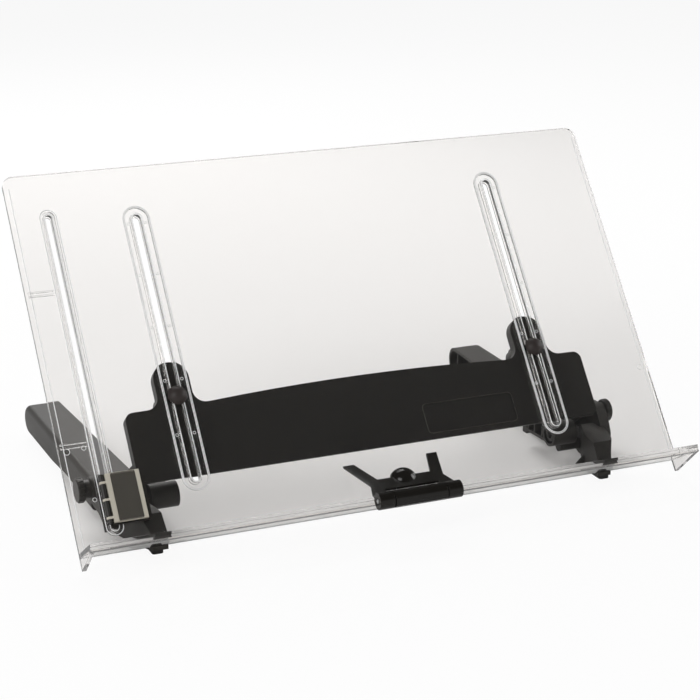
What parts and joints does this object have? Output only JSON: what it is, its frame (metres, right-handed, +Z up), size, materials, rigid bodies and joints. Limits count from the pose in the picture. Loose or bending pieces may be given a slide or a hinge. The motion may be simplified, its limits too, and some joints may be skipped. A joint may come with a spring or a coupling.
{
  "type": "in-line document holder",
  "caption": "Clear sloping document holder with a front ledge, on a black crossbar with height and tilt adjustment, page clip and side clip.",
  "frame": {"origin": "middle of the footprint on the desk, under the centre of the bounding box", "axes": "X to the right across the panel, Y to the rear, Z up; the panel's front faces -Y and leans back"},
  "size_m": [0.457, 0.3164, 0.2305],
  "materials": {
    "clear_plastic": "clear polished moulded plastic",
    "black_plastic": "satin black moulded plastic",
    "black_metal": "black coated steel",
    "steel": "plain zinc-plated steel",
    "nylon": "natural nylon",
    "rubber": "dull black rubber",
    "grey_plastic": "warm grey moulded plastic",
    "grip_rubber": "fine-ribbed olive-grey rubber"
  },
  "bodies": {
    "right_foot": {"right_leg": "black_plastic", "right_front_pad": "rubber", "right_rear_pad": "rubber"},
    "crossbar": {"crossbar": "black_plastic", "left_height_bolt": "black_metal", "right_height_bolt": "black_metal", "left_height_washer": "steel", "right_height_washer": "steel", "left_tilt_bolt": "steel", "right_tilt_bolt": "steel", "left_tilt_washer": "nylon", "right_tilt_washer": "nylon"},
    "left_foot": {"left_leg": "black_plastic", "left_front_pad": "rubber", "left_rear_pad": "rubber"},
    "panel": {"clear_panel": "clear_plastic"},
    "left_height_knob": {"left_height_knob": "black_plastic"},
    "right_height_knob": {"right_height_knob": "black_plastic"},
    "left_tilt_knob": {"left_tilt_knob": "black_plastic"},
    "right_tilt_knob": {"right_tilt_knob": "black_plastic"},
    "page_clip_base": {"page_clip_base": "black_plastic", "page_clip_pin": "steel"},
    "page_clip_arm": {"page_clip_arm": "black_plastic"},
    "side_clip_slider": {"side_clip_slider": "black_plastic", "side_clip_pin": "steel"},
    "side_clip_flap": {"side_clip_flap": "grey_plastic", "side_clip_pad": "grip_rubber"}
  },
  "joints": [
    {"name": "tilt", "type": "hinge", "parent": "right_foot", "child": "crossbar", "pos_m": [0.172, -0.04426, 0.0275], "axis": [-1, 0, 0], "range_deg": [0, 22]},
    {"name": "left_foot_tilt", "type": "hinge", "parent": "crossbar", "child": "left_foot", "pos_m": [-0.172, -0.04426, 0.0275], "axis": [-1, 0, 0], "range_deg": [-22, 0]},
    {"name": "panel_height", "type": "slide", "parent": "crossbar", "child": "panel", "axis": [0, 0.6157, 0.788], "range_m": [0, 0.056]},
    {"name": "left_height_knob_turn", "type": "hinge", "parent": "crossbar", "child": "left_height_knob", "pos_m": [-0.139, -0.03696, 0.07676], "axis": [0, -0.788, 0.6157], "range_deg": [0, 360]},
    {"name": "right_height_knob_turn", "type": "hinge", "parent": "crossbar", "child": "right_height_knob", "pos_m": [0.139, -0.03696, 0.07676], "axis": [0, -0.788, 0.6157], "range_deg": [0, 360]},
    {"name": "left_tilt_knob_turn", "type": "hinge", "parent": "crossbar", "child": "left_tilt_knob", "pos_m": [-0.206, -0.04426, 0.0275], "axis": [-1, 0, 0], "range_deg": [0, 360]},
    {"name": "right_tilt_knob_turn", "type": "hinge", "parent": "crossbar", "child": "right_tilt_knob", "pos_m": [0.206, -0.04426, 0.0275], "axis": [1, 0, 0], "range_deg": [0, 360]},
    {"name": "page_clip_slide", "type": "slide", "parent": "panel", "child": "page_clip_base", "axis": [1, 0, 0], "range_m": [-0.135, 0.18]},
    {"name": "page_clip_flip", "type": "hinge", "parent": "page_clip_base", "child": "page_clip_arm", "pos_m": [0.0005, -0.15225, 0.03105], "axis": [1, 0, 0], "range_deg": [0, 130]},
    {"name": "side_clip_slide", "type": "slide", "parent": "panel", "child": "side_clip_slider", "axis": [0, 0.6157, 0.788], "range_m": [0, 0.19]},
    {"name": "side_clip_open", "type": "hinge", "parent": "side_clip_slider", "child": "side_clip_flap", "pos_m": [-0.2046, -0.09871, 0.04061], "axis": [0, -0.6157, -0.788], "range_deg": [0, 110]}
  ],
  "couplings": [
    {"joint": "left_foot_tilt", "follows": "tilt", "ratio": -1}
  ]
}
